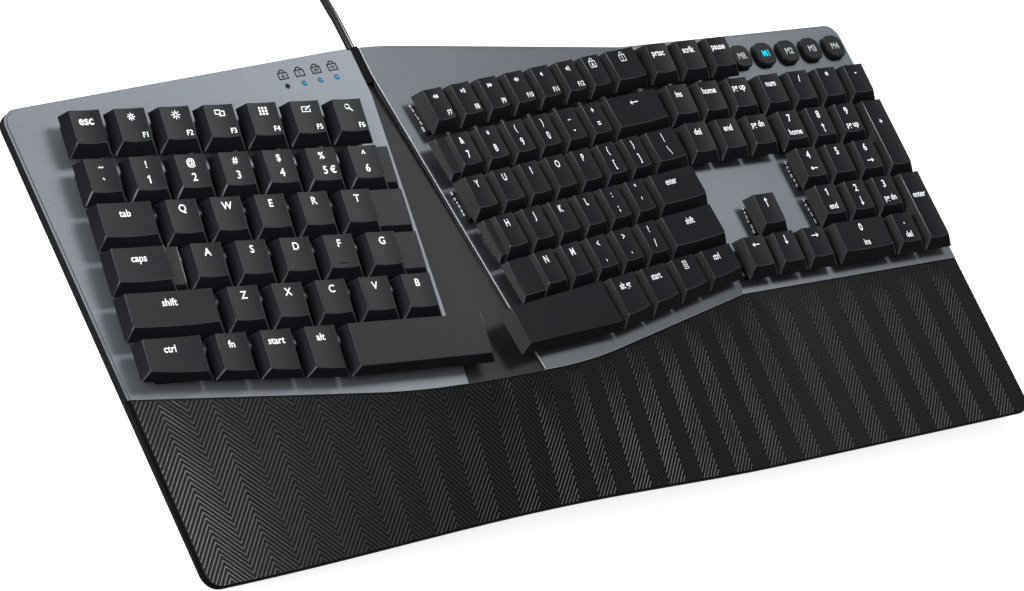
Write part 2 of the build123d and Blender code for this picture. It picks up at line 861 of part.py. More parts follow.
def make_boards():
    """One circuit board under each key field, and the controller board under the centre panel."""
    low = -switch_below - board_gap - board_thickness
    room = body_block(board_inset, board_inset) & behind_seam(board_seam_margin)
    limits = {
        -1: (-half_width, left_plate_end - board_gap_x),
        1: (right_plate_end + board_gap_x, crease_x - board_gap_x),
        0: (crease_x + board_gap_x, half_width),
    }
    for side, (plane, keys) in fields.items():
        board = plane * box_between((-far, -far, low), (far, far, low + board_thickness)) & room
        board = board & slice_x(*limits[side])
        if side < 0:
            board = board - inner_edge_cut(side, left_inner_column - board_inner_margin)
        if side > 0:
            board = board - inner_edge_cut(side, right_inner_column + board_inner_margin)
        for x, y in screw_places:
            board = board - pillar(x, y, 0, far, boss_radius + boss_clearance)
        board = board - boot_space()
        save(field_names[side] + "_circuit_board", one_solid(board))
    top = controller_z + board_thickness
    half_length = controller_length / 2
    middle_y = controller_back() - half_length
    board = around((cable_x, middle_y), controller_width / 2, half_length, controller_z, top)
    chip_y = controller_front() + chip_front + chip_size / 2
    chip = around((cable_x, chip_y), chip_size / 2, chip_size / 2, top, top + chip_height)
    socket_y = controller_back() - 1 - socket_length / 2
    socket = around((cable_x, socket_y), socket_width / 2, socket_length / 2, top, top + socket_height)
    save("controller_board", one_solid(Part() + board + chip + socket))


def make_lamps_and_buttons():
    """The four lock lamps in the left plate and the five macro buttons."""
    lamps = []
    for place in lamp_places:
        lamp = Cylinder(lamp_radius, lamp_depth, align=(Align.CENTER, Align.CENTER, Align.MAX))
        lamps.append(one_solid(lamp_frame(place) * lamp))
    save("indicator_lamps", Compound(children=lamps))
    buttons = []
    for x, y in button_places:
        foot = deck_height - button_below
        cap = button_prism(x, y, foot, deck_height + button_height, button_width)
        cap = chamfer(cap.faces().sort_by(Axis.Z)[-1].edges(), button_chamfer)
        collar = button_prism(x, y, foot, foot + button_collar, button_collar_width)
        buttons.append(one_solid(Part() + cap + collar))
    save("macro_buttons", Compound(children=buttons))


def boot_profile():
    """The cable boot's outline across the cable, as points in X and Z."""
    left = crown_z - boot_left_drop
    right = crown_z - boot_right_drop
    return [
        (cable_x - boot_half, boot_low),
        (cable_x + boot_half, boot_low),
        (cable_x + boot_half, right),
        (right_plate_end - cover_gap, right),
        (right_plate_end - cover_gap, crown_z + cover_right_rise),
        (left_plate_end + cover_gap, crown_z + cover_left_rise),
        (left_plate_end + cover_gap, left),
        (cable_x - boot_half, left),
    ]


def make_boot():
    """The cable boot, with its cover showing between the plates."""
    face = Plane.XZ.offset(-boot_back) * Polygon(*boot_profile(), align=None)
    save("cable_boot", one_solid(extrude(face, boot_back - cover_front)))


def boot_space():
    """The slot in the case that the boot sits in."""
    half = boot_half + boot_fit
    return box_between(
        (cable_x - half, cover_front - boot_fit, boot_low - boot_fit), (cable_x + half, body_depth, far)
    )


def cable_route():
    """From the boot straight back, down to the desk and on to the coil."""
    floor = cable_diameter / 2
    level_end = boot_back + cable_level_run
    return [
        (cable_x, boot_back, cable_height),
        (cable_x, level_end, cable_height),
        (cable_x, level_end + cable_fall_run, floor),
        (cable_x, coil_entry_y - cable_diameter, floor),
    ]


def tail_route():
    """From the top of the coil down to the plug."""
    across, top = coil_stops()[-1]
    x = cable_x + coil_outer + across
    start = coil_entry_y + cable_diameter
    level_end = start + tail_level_run
    fall_end = level_end + tail_fall_run
    return [
        (x, start, top),
        (x, level_end, top),
        (x, fall_end, plug_axis),
        (x, fall_end + tail_end_run, plug_axis),
    ]


def tube_along(points, name):
    """A round tube along straight runs joined by arcs as large as the runs allow."""
    vectors = [Vector(*p) for p in points]
    radii = []
    for before, here, after in zip(vectors, vectors[1:], vectors[2:]):
        turn = math.radians((here - before).get_angle(after - here))
        shorter = min((here - before).length, (after - here).length)
        radii.append(0.45 * shorter / math.tan(turn / 2))
    path = FilletPolyline(*vectors, radius=radii)
    print(name, "radii", [round(r, 1) for r in radii], "length", round(path.length, 1))
    start = Plane(origin=vectors[0], z_dir=vectors[1] - vectors[0])
    tube = sweep(start * Circle(cable_diameter / 2), path=path)
    save(name, one_solid(tube))
    return path.length


def coil_stops():
    """Where each half turn of the coil ends: across, and up, from the coil's middle and the desk."""
    reach = coil_outer
    height = cable_diameter / 2
    side = -1
    stops = [(side * reach, height)]
    for layer, half_turns in enumerate(coil_layer_half_turns):
        direction = -1 if layer % 2 == 0 else 1
        if layer > 0:
            side = -side
            height = height + coil_pitch
            stops.append((side * reach, height))
        for _ in range(half_turns):
            side = -side
            reach = reach + direction * coil_pitch / 2
            stops.append((side * reach, height))
    return stops


def make_coil():
    """The put-away cable, wound in and out in layers from half turns."""
    stops = coil_stops()
    middle_x = cable_x + coil_outer
    lines = []
    heading = 1
    for (x0, z0), (x1, z1) in zip(stops, stops[1:]):
        start = Vector(middle_x + x0, coil_entry_y, z0)
        end = Vector(middle_x + x1, coil_entry_y, z1)
        middle = (start + end) * 0.5 + Vector(0, heading * (end - start).length / 2, 0)
        lines.append(Edge.make_three_point_arc(start, middle, end))
        heading = -heading
    lead = Vector(0, cable_diameter, 0)
    entry = lines[0] @ 0
    leave = lines[-1] @ 1
    lines = [Edge.make_line(entry - lead, entry)] + lines + [Edge.make_line(leave, leave + lead)]
    path = Wire(lines)
    start = Plane(origin=entry - lead, z_dir=lead)
    save("cable_coil", one_solid(sweep(start * Circle(cable_diameter / 2), path=path)))
    print("coil length", round(path.length, 1), "turns", (len(lines) - 2) / 2)
    samples = 24
    points = [(i, e @ (j / samples)) for i, e in enumerate(lines) for j in range(samples)]
    least = min(
        (p - q).length - cable_diameter
        for n, (i, p) in enumerate(points)
        for m, (k, q) in enumerate(points[n + 1:])
        if m > samples
    )
    print("coil least gap", round(least, 2))
    return path.length


def make_cable():
    """Cable, coil, tail and plug."""
    total = tube_along(cable_route(), "cable") + make_coil() + tube_along(tail_route(), "cable_tail")
    print("cable in all", round(total, 1))
    x, front, _ = tail_route()[-1]
    middle = (x, front + plug_housing_length / 2)
    housing = around(middle, plug_width / 2, plug_housing_length / 2, 0, 2 * plug_axis)
    save("usb_plug_housing", one_solid(chamfer(housing.edges().filter_by(Axis.Y), plug_chamfer)))
    start = front + plug_housing_length
    half = plug_shell_width / 2
    low = plug_axis - plug_shell_height / 2
    high = plug_axis + plug_shell_height / 2
    wall = plug_shell_wall
    left = x - half + wall
    right = x + half - wall
    tip = start + plug_length
    shell = box_between((x - half, start, low), (x + half, tip, high))
    hollow = box_between((left, start + plug_floor, low + wall), (right, far, high - wall))
    tongue_top = low + wall + plug_tongue_height
    tongue = box_between((left, start, low + wall), (right, tip - plug_tongue_short, tongue_top))
    save("usb_plug", one_solid((shell - hollow) + tongue))


make_keys()
make_switches()
make_plates()
make_centre_panel()
make_palm_rest()
make_case()
make_boards()
make_lamps_and_buttons()
make_feet()
make_screws()
make_boot()
make_cable()
for name, shape in parts.items():
    export_step(shape, f"parts/{name}.step")
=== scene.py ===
import math
import random

import bmesh
import bpy
from mathutils import Matrix, Vector
from mathutils.bvhtree import BVHTree


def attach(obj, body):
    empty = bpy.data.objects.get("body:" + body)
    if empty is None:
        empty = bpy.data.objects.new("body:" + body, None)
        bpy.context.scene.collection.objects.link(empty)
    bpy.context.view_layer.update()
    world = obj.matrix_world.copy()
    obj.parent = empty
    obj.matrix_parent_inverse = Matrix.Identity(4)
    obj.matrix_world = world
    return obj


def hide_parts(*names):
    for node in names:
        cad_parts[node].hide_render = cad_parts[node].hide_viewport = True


# Split and tented keyboard: its looks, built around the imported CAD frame. Metres, in the CAD's own frame.

mm = 0.001
bpy.ops.wm.read_factory_settings(use_empty=True)
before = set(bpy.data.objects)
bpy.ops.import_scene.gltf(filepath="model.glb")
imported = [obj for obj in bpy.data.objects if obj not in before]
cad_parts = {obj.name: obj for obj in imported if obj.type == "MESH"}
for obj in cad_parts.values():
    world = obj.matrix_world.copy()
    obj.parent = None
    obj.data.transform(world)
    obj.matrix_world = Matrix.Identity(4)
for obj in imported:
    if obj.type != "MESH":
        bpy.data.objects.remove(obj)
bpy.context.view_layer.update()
scene = bpy.context.scene

# Body sizes that the looks need again, from the CAD source
half_width = 237.0 * mm
half_depth = 100.85 * mm
deck_height = 14.8 * mm
tent = math.radians(8.2)
split = math.radians(8.0)
ridge_x = -70.5 * mm
crease_x = 96.0 * mm
tent_slope = math.tan(tent)
root = "keyboard_body"


# Materials

def new_material(name):
    """A node material with its principled shader."""
    material = bpy.data.materials.new(name)
    material.use_nodes = True
    tree = material.node_tree
    return material, tree.nodes, tree.links, tree.nodes["Principled BSDF"]


def grained(name, color, roughness, metallic=0.0, grain_size=0.4, grain=0.1, bump=0.1, specular=0.3):
    """A surface with a fine moulded or blasted grain in colour, roughness and height."""
    material, nodes, links, shader = new_material(name)
    coordinates = nodes.new("ShaderNodeTexCoord")
    noise = nodes.new("ShaderNodeTexNoise")
    noise.inputs["Scale"].default_value = 1 / (grain_size * mm)
    noise.inputs["Detail"].default_value = 3
    links.new(coordinates.outputs["Object"], noise.inputs["Vector"])
    low = nodes.new("ShaderNodeMapRange")
    low.inputs["From Min"].default_value = 0.3
    low.inputs["From Max"].default_value = 0.7
    low.inputs["To Min"].default_value = 1 - grain
    low.inputs["To Max"].default_value = 1 + grain
    links.new(noise.outputs["Fac"], low.inputs["Value"])
    tint = nodes.new("ShaderNodeMix")
    tint.data_type = "RGBA"
    tint.blend_type = "MULTIPLY"
    tint.inputs["Factor"].default_value = 1.0
    tint.inputs["A"].default_value = (*color, 1)
    links.new(low.outputs["Result"], tint.inputs["B"])
    links.new(tint.outputs["Result"], shader.inputs["Base Color"])
    relief = nodes.new("ShaderNodeBump")
    relief.inputs["Strength"].default_value = bump
    relief.inputs["Distance"].default_value = 0.05 * mm
    links.new(noise.outputs["Fac"], relief.inputs["Height"])
    links.new(relief.outputs["Normal"], shader.inputs["Normal"])
    shader.inputs["Roughness"].default_value = roughness
    shader.inputs["Metallic"].default_value = metallic
    shader.inputs["Specular IOR Level"].default_value = specular
    return material


def glowing(name, color, strength):
    """A lit lamp or lit ink."""
    material, _, _, shader = new_material(name)
    shader.inputs["Base Color"].default_value = (*color, 1)
    shader.inputs["Emission Color"].default_value = (*color, 1)
    shader.inputs["Emission Strength"].default_value = strength
    shader.inputs["Specular IOR Level"].default_value = 0.1
    return material


key_plastic = grained(
    "key_plastic", (0.0038, 0.0046, 0.0062), 0.45, grain_size=0.35, grain=0.08, specular=0.14,
)
# Lighter copies of the key plastic for the broken edges: painted highlights on the crown's rim and on the
# ridges between the flanks.
key_rim_highlight = grained(
    "key_rim_highlight", (0.030, 0.033, 0.037), 0.35, grain_size=0.35, grain=0.05, bump=0.02, specular=0.5,
)
key_ridge_highlight = grained(
    "key_ridge_highlight", (0.048, 0.052, 0.059), 0.35, grain_size=0.35, grain=0.05, bump=0.02, specular=0.6,
)
button_plastic = grained("button_plastic", (0.0075, 0.0078, 0.0078), 0.45, grain_size=0.3, specular=0.22)
# The plates' metal in two copies: the right and number-pad plates get a lighter, more mirror-like one for how
# the light falls on them there, which is painted light.
plate_metal = grained(
    "plate_metal", (0.134, 0.141, 0.155), 0.5, metallic=0.55, grain_size=0.55, grain=0.12, bump=0.25,
)
right_plate_painted_light_metal = grained(
    "right_plate_painted_light_metal", (0.152, 0.160, 0.176), 0.46, metallic=0.8, grain_size=0.55, grain=0.12, bump=0.25,
)
# A darker copy of the plate metal for the plates' standing faces and switch-hole walls: painted shade.
plate_side_painted_shade = grained("plate_side_painted_shade", (0.034, 0.034, 0.036), 0.5, metallic=0.3)
# A bright copy of the plate metal for the plates' broken edges: painted highlight.
plate_edge_highlight = grained("plate_edge_highlight", (0.72, 0.73, 0.75), 0.35, metallic=0.4, grain_size=0.2, grain=0.05)
case_black = grained("case_black", (0.006, 0.006, 0.0065), 0.5)
panel_grey = grained("panel_grey", (0.0175, 0.0168, 0.0172), 0.6, grain_size=0.5, specular=0.2)
palm_black = grained("palm_black", (0.0036, 0.0034, 0.0034), 0.45, grain_size=0.5, grain=0.15, specular=0.09)
# A lighter copy of the pad's rubber for the ribs: painted highlight against the darker ground between them.
palm_rib_highlight = grained("palm_rib_highlight", (0.0092, 0.0087, 0.0086), 0.3, grain_size=0.8, grain=0.3, specular=0.72)
# Bright white for the short strips on the switches: painted highlights on their edges.
switch_edge_highlight = grained("switch_edge_highlight", (0.75, 0.76, 0.78), 0.2, grain_size=0.25, grain=0.5)
switch_black = grained("switch_black", (0.012, 0.012, 0.013), 0.35)
# Light grey for the circuit boards, lighter than a board's own dark colour, so the shaded gap between the
# centre panel and the right plate reads lighter: painted light.
board_painted_light_grey = grained("board_painted_light_grey", (0.13, 0.13, 0.135), 0.5)
steel = grained("steel", (0.5, 0.5, 0.52), 0.3, metallic=1.0, grain_size=0.15)
rubber = grained("rubber", (0.02, 0.02, 0.02), 0.75)
strap_black = grained("strap_black", (0.008, 0.008, 0.009), 0.8, grain_size=0.6, grain=0.2)
cable_black = grained(
    "cable_black", (0.008, 0.008, 0.009), 0.21, grain_size=1.5, grain=0.03, bump=0.0, specular=1.0,
)
gloss_black = grained("gloss_black", (0.006, 0.006, 0.007), 0.12, grain_size=0.6, grain=0.05, bump=0.02)
ink_white = grained("ink_white", (0.86, 0.87, 0.88), 0.55, grain=0.02, bump=0.0)
ink_dark = grained("ink_dark", (0.003, 0.003, 0.004), 0.6, grain=0.02, bump=0.0, specular=0.1)
ink_cyan = glowing("ink_cyan", (0.0, 0.46, 0.62), 0.75)
ink_grey = grained("ink_grey", (0.42, 0.43, 0.44), 0.55, grain=0.02, bump=0.0)
lamp_cyan = glowing("lamp_cyan", (0.004, 0.16, 0.30), 0.5)
lamp_off = grained("lamp_off", (0.004, 0.004, 0.006), 0.5, specular=0.1)


# Key fields: 'left' rises to the right, 'right' falls to the right, 'pad' is flat

left_keys = (
    "escape_key", "left_function_keys", "left_number_keys", "tab_key", "left_upper_letter_keys",
    "caps_lock_key", "left_home_letter_keys", "left_shift_key", "left_lower_letter_keys", "left_control_key",
    "left_modifier_keys", "left_space_key",
)
right_keys = (
    "right_function_keys", "right_number_keys", "backspace_key", "right_upper_letter_keys", "backslash_key",
    "right_home_letter_keys", "enter_key", "right_lower_letter_keys", "right_shift_key", "right_space_key",
    "right_modifier_keys", "right_control_key",
)
pad_keys = (
    "system_keys", "navigation_keys", "arrow_up_key", "arrow_left_key", "arrow_down_key", "arrow_right_key",
    "number_pad_keys", "pad_zero_key", "pad_plus_key", "pad_enter_key",
)
key_fields = ((left_keys, -1), (right_keys, 1), (pad_keys, 0))


def field_axes(side):
    """Right, back and up of a key field: side -1 is left, 1 right, 0 the pad."""
    tilt = tent * side
    turn = split * side
    right = Vector((math.cos(turn) * math.cos(tilt), math.sin(turn), -math.cos(turn) * math.sin(tilt)))
    up = Vector((math.sin(tilt), 0, math.cos(tilt)))
    back = up.cross(right)
    return Matrix((right, back, up)).transposed()


# Shapes

weld_distance = 0.001 * mm
flat_angle = math.radians(0.15)
rounded_from_angle = math.radians(25)
smooth_to_angle = math.radians(12)
least_up_facing = 0.12
least_ridge_rise = 0.35


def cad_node(node):
    """The CAD object of a node."""
    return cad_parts[node]


def new_object(name, mesh, materials, body):
    """An object made from a mesh, with its materials, riding on a body."""
    piece = bpy.data.objects.new(name, mesh)
    scene.collection.objects.link(piece)
    for material in materials:
        mesh.materials.append(material)
    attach(piece, body)
    return piece


def smooth_by_angle(mesh, angle):
    """Smooth shading except across edges sharper than the angle."""
    for polygon in mesh.polygons:
        polygon.use_smooth = True
    work = bmesh.new()
    work.from_mesh(mesh)
    for edge in work.edges:
        edge.smooth = len(edge.link_faces) == 2 and edge.calc_face_angle(0) < angle
    work.to_mesh(mesh)
    work.free()


def sharp_edges(work, up, ridges):
    """Outer edges to round: the ridges between flanks, or the rim of the crown and the rest."""
    found = []
    for edge in work.edges:
        if len(edge.link_faces) != 2 or edge.calc_face_angle(0) < rounded_from_angle:
            continue
        if up is not None:
            if not edge.is_convex or min(face.normal.dot(up) for face in edge.link_faces) < least_up_facing:
                continue
            direction = (edge.verts[1].co - edge.verts[0].co).normalized()
            if (abs(direction.dot(up)) > least_ridge_rise) != ridges:
                continue
        found.append(edge)
    return found


def round_off(work, edges, width, material, clamp):
    """Break a set of edges; the new faces get the material's slot."""
    bmesh.ops.bevel(
        work, geom=edges, offset=width, segments=1, profile=0.5, affect="EDGES", clamp_overlap=clamp,
        material=material,
    )


def polished(node, name, body, materials, width, ridge_width=0.0, up=None):
    """A copy of a CAD node with its sharp edges broken, standing for it.

    The ridges between a cap's flanks get the second material, the other broken edges the last one; the
    callers give these lighter colours as painted highlights.
    """
    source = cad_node(node)
    work = bmesh.new()
    work.from_mesh(source.data)
    bmesh.ops.transform(work, matrix=source.matrix_world, verts=work.verts)
    bmesh.ops.remove_doubles(work, verts=work.verts, dist=weld_distance)
    bmesh.ops.dissolve_limit(work, angle_limit=flat_angle, verts=work.verts, edges=work.edges)
    if ridge_width:
        round_off(work, sharp_edges(work, up, True), ridge_width, 1, False)
    round_off(work, sharp_edges(work, up, False), width, len(materials) - 1, up is None)
    mesh = bpy.data.meshes.new(name)
    work.to_mesh(mesh)
    work.free()
    smooth_by_angle(mesh, smooth_to_angle)
    piece = new_object(name, mesh, materials, body)
    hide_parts(node)
    return piece


def paint(node, material):
    """A CAD node that keeps its shape and gets a better material."""
    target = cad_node(node)
    target.data.materials.clear()
    target.data.materials.append(material)


# Camera

view_right = Vector((0.71602, -0.417, 0.55985))
view_up = Vector((0.11681, 0.86225, 0.49284))
view_back = Vector((-0.68824, -0.28748, 0.6661))
view_place = Vector((-1.10599, -0.45561, 1.05454))
camera = bpy.data.objects.new("camera", bpy.data.cameras.new("camera"))
scene.collection.objects.link(camera)
camera.data.lens = 136.34
camera.data.sensor_width = 36
camera.data.clip_end = 10
camera_axes = Matrix((view_right, view_up, view_back)).transposed()
camera.matrix_world = Matrix.Translation(view_place) @ camera_axes.to_4x4()
scene.camera = camera

# The cord: the CAD route's points and the coil's turns, on one spline

cable_x = ridge_x - 4 * mm
cable_radius = 1.75 * mm
cable_height = 35.3 * mm
cable_exit = (cable_x, half_depth - 0.25 * mm, cable_height)
cable_bend_y = half_depth + 45.75 * mm
cable_desk_y = half_depth + 77.25 * mm
coil_entry_y = half_depth + 107.15 * mm
coil_lead = 3.5 * mm
tail_bend = 24 * mm
tail_drop = 54 * mm
tail_end = 80 * mm
plug_height = 4 * mm
coil_outer = 27.0 * mm
coil_pitch = 4.6 * mm
coil_half_turns = (6, 6, 6, 5)
steps_per_half_turn = 8
tie_width = 9 * mm
tie_thickness = 0.9 * mm
tie_corner_steps = 6
tie_smooth_angle = math.radians(40)


def coil_points():
    """The coil's turns: half circles about a middle line, in and out in layers."""
    middle_x = cable_x + coil_outer
    side = -1
    reach = coil_outer
    height = cable_radius
    heading = 1
    points = []
    for layer, half_turns in enumerate(coil_half_turns):
        direction = -1 if layer % 2 == 0 else 1
        turns = [(direction * coil_pitch / 2, 0)] * half_turns
        if layer > 0:
            turns = [(0, coil_pitch)] + turns
        for grow, climb in turns:
            start = side * reach
            end = -side * (reach + grow)
            centre = (start + end) / 2
            radius = abs(end - start) / 2
            for i in range(steps_per_half_turn):
                turned = math.pi * i / steps_per_half_turn
                points.append((
                    middle_x + centre + side * radius * math.cos(turned),
                    coil_entry_y + heading * radius * math.sin(turned),
                    height + climb * i / steps_per_half_turn,
                ))
            side = -side
            reach += grow
            height += climb
            heading = -heading
    points.append((middle_x + side * reach, coil_entry_y, height))
    return points


def make_cord():
    """The cable from the boot to the plug as one smooth curve."""
    turns = coil_points()
    end_x, _, top = turns[-1]
    tail_y = coil_entry_y + coil_lead
    route = [
        cable_exit,
        (cable_x, cable_bend_y, cable_height),
        (cable_x, cable_desk_y, cable_radius),
        (cable_x, coil_entry_y - coil_lead, cable_radius),
    ] + turns + [
        (end_x, tail_y, top),
        (end_x, tail_y + tail_bend, top),
        (end_x, tail_y + tail_drop, plug_height),
        (end_x, tail_y + tail_end, plug_height),
    ]
    curve = bpy.data.curves.new("cord", "CURVE")
    curve.dimensions = "3D"
    curve.bevel_depth = cable_radius
    curve.bevel_resolution = 6
    curve.use_fill_caps = True
    spline = curve.splines.new("NURBS")
    spline.points.add(len(route) - 1)
    for point, place in zip(spline.points, route):
        point.co = (*place, 1)
    spline.order_u = 3
    spline.use_endpoint_u = True
    spline.resolution_u = 6
    cord = bpy.data.objects.new("cord", curve)
    curve.materials.append(cable_black)
    scene.collection.objects.link(cord)
    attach(cord, root)
    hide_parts("cable", "cable_coil", "cable_tail")


def make_tie():
    """A flat strap that holds the turns together on the coil's right side."""
    middle_x = cable_x + coil_outer
    held = [p for p in coil_points() if p[0] > middle_x and abs(p[1] - coil_entry_y) < cable_radius]
    left, right = min(p[0] for p in held), max(p[0] for p in held)
    low, high = min(p[2] for p in held), max(p[2] for p in held)
    corners = ((right, high), (left, high), (left, low), (right, low))
    work = bmesh.new()
    rows = []
    for reach, floor, side in (
        (cable_radius, tie_thickness / 2, -1), (cable_radius, tie_thickness / 2, 1),
        (cable_radius + tie_thickness, 0, 1), (cable_radius + tie_thickness, 0, -1),
    ):
        row = []
        for quarter, (x, z) in enumerate(corners):
            for step in range(tie_corner_steps + 1):
                angle = math.pi / 2 * (quarter + step / tie_corner_steps)
                row.append(work.verts.new((
                    x + reach * math.cos(angle),
                    coil_entry_y + side * tie_width / 2,
                    max(z + reach * math.sin(angle), floor),
                )))
        rows.append(row)
    for row, following in zip(rows, rows[1:] + rows[:1]):
        for i in range(len(row)):
            work.faces.new((row[i - 1], row[i], following[i], following[i - 1]))
    bmesh.ops.recalc_face_normals(work, faces=work.faces)
    mesh = bpy.data.meshes.new("cable_tie")
    work.to_mesh(mesh)
    work.free()
    smooth_by_angle(mesh, tie_smooth_angle)
    new_object("cable_tie", mesh, [strap_black], root)


make_cord()
make_tie()

# Lettering and signs, drawn flat in millimetres and laid on a surface

ink_lift = 0.035 * mm
ink_drop_from = 6 * mm
ink_drop_reach = 14 * mm
capital_height = 0.7
letter_weight = 0.018
letter_squeeze = 0.92
letter_cache = {}


class Ink:
    """Flat lettering for one body, each point dropped on the surface below it."""

    def __init__(self):
        self.work = bmesh.new()
        self.surface = None
        self.matrix = Matrix.Identity(4)
        self.up = Vector((0, 0, 1))
        self.layer = 0

    def aim(self, surface, origin, axes, layer=0):
        """Draw on this surface, with this origin and these axes from now on."""
        self.surface = surface
        self.matrix = Matrix.Translation(origin) @ axes.to_4x4()
        self.up = axes.col[2].copy()
        self.layer = layer

    def place(self, x, y):
        """A vertex at a flat point, on the surface."""
        point = self.matrix @ Vector((x * mm, y * mm, 0))
        hit, _, _, _ = self.surface.ray_cast(point + self.up * ink_drop_from, -self.up, ink_drop_reach)
        point = hit if hit is not None else point
        return self.work.verts.new(point + self.up * ink_lift)

    def face(self, points):
        """A filled shape."""
        face = self.work.faces.new([self.place(x, y) for x, y in points])
        face.material_index = self.layer

    def line(self, points, width, closed=False):
        """A stroke through points."""
        ends = list(points) + ([points[0]] if closed else [])
        for (x0, y0), (x1, y1) in zip(ends, ends[1:]):
            length = math.hypot(x1 - x0, y1 - y0)
            ux = (x1 - x0) / length * width / 2
            uy = (y1 - y0) / length * width / 2
            self.face([
                (x0 - ux + uy, y0 - uy - ux), (x1 + ux + uy, y1 + uy - ux),
                (x1 + ux - uy, y1 + uy + ux), (x0 - ux - uy, y0 - uy + ux),
            ])

    def ring(self, x, y, radius, width, start=0.0, end=2 * math.pi, steps=14):
        """A stroke along a circle or an arc."""
        angles = [start + (end - start) * i / steps for i in range(steps + 1)]
        self.line([(x + radius * math.cos(angle), y + radius * math.sin(angle)) for angle in angles], width)

    def disc(self, x, y, radius, steps):
        """A filled circle."""
        self.face([
            (x + radius * math.cos(angle), y + radius * math.sin(angle))
            for angle in (2 * math.pi * i / steps for i in range(steps))
        ])

    def text(self, words, x, y, size):
        """Words centred on a point; size is the height of a capital. A lone 1 gets the flag that it lacks."""
        mesh, middle = lettering(words)
        scale = size / capital_height
        if words == "1":
            self.line([(x - 0.24 * size, y + 0.22 * size), (x, y + 0.44 * size)], 0.12 * size)
        verts = [
            self.place(x + (v.co.x - middle) * scale * letter_squeeze, y + v.co.y * scale - size / 2)
            for v in mesh.vertices
        ]
        for polygon in mesh.polygons:
            corners = [verts[i] for i in polygon.vertices]
            if len(set(corners)) == len(corners):
                face = self.work.faces.new(corners)
                face.material_index = self.layer

    def finish(self, name, materials, body):
        """The lettering as one piece on its body."""
        mesh = bpy.data.meshes.new(name)
        self.work.to_mesh(mesh)
        self.work.free()
        new_object(name, mesh, materials, body)


def lettering(words):
    """The mesh of some words in the built-in font, with the middle of its width."""
    if words not in letter_cache:
        curve = bpy.data.curves.new("letters", "FONT")
        curve.body = words
        curve.size = 1.0
        curve.offset = letter_weight
        curve.resolution_u = 3
        holder = bpy.data.objects.new("letters", curve)
        scene.collection.objects.link(holder)
        graph = bpy.context.evaluated_depsgraph_get()
        mesh = bpy.data.meshes.new_from_object(holder.evaluated_get(graph))
        bpy.data.objects.remove(holder)
        across = [v.co.x for v in mesh.vertices]
        letter_cache[words] = (mesh, (min(across) + max(across)) / 2)
    return letter_cache[words]


def arrow(ink, x, y, direction, reach=2.1):
    """A short arrow: direction is left, right, up or down."""
    dx, dy = {"left": (-1, 0), "right": (1, 0), "up": (0, 1), "down": (0, -1)}[direction]
    head_length = 1.4
    head_half = 1.05
    neck = reach - head_length
    ink.line([(x - dx * reach, y - dy * reach), (x + dx * neck, y + dy * neck)], 0.45)
    ink.face([
        (x + dx * reach, y + dy * reach),
        (x + dx * neck - dy * head_half, y + dy * neck + dx * head_half),
        (x + dx * neck + dy * head_half, y + dy * neck - dx * head_half),
    ])


def sun(ink, x, y, size):
    """A sun with rays, for brightness."""
    ink.ring(x, y, 0.9 * size, 0.42)
    for i in range(8):
        angle = math.pi / 4 * i
        inner = 1.5 * size
        outer = 2.15 * size
        ink.line([
            (x + inner * math.cos(angle), y + inner * math.sin(angle)),
            (x + outer * math.cos(angle), y + outer * math.sin(angle)),
        ], 0.4)


def padlock(ink, x, y, letter, size, stroke):
    """A padlock outline with a letter in it."""
    half = 1.65 * size
    bottom = y - 1.5 * size
    top = y + 0.8 * size
    ink.line([(x - half, bottom), (x + half, bottom), (x + half, top), (x - half, top)], stroke, closed=True)
    ink.ring(x, y + 0.9 * size, 0.95 * size, stroke, 0, math.pi, 8)
    ink.text(letter, x, y - 0.35 * size, (1.5 if len(letter) == 1 else 1.15) * size)


def box_line(ink, x, y, left, right, low, high, width):
    """A rectangle's outline about a point."""
    corners = ((left, low), (right, low), (right, high), (left, high))
    ink.line([(x + across, y + up) for across, up in corners], width, closed=True)


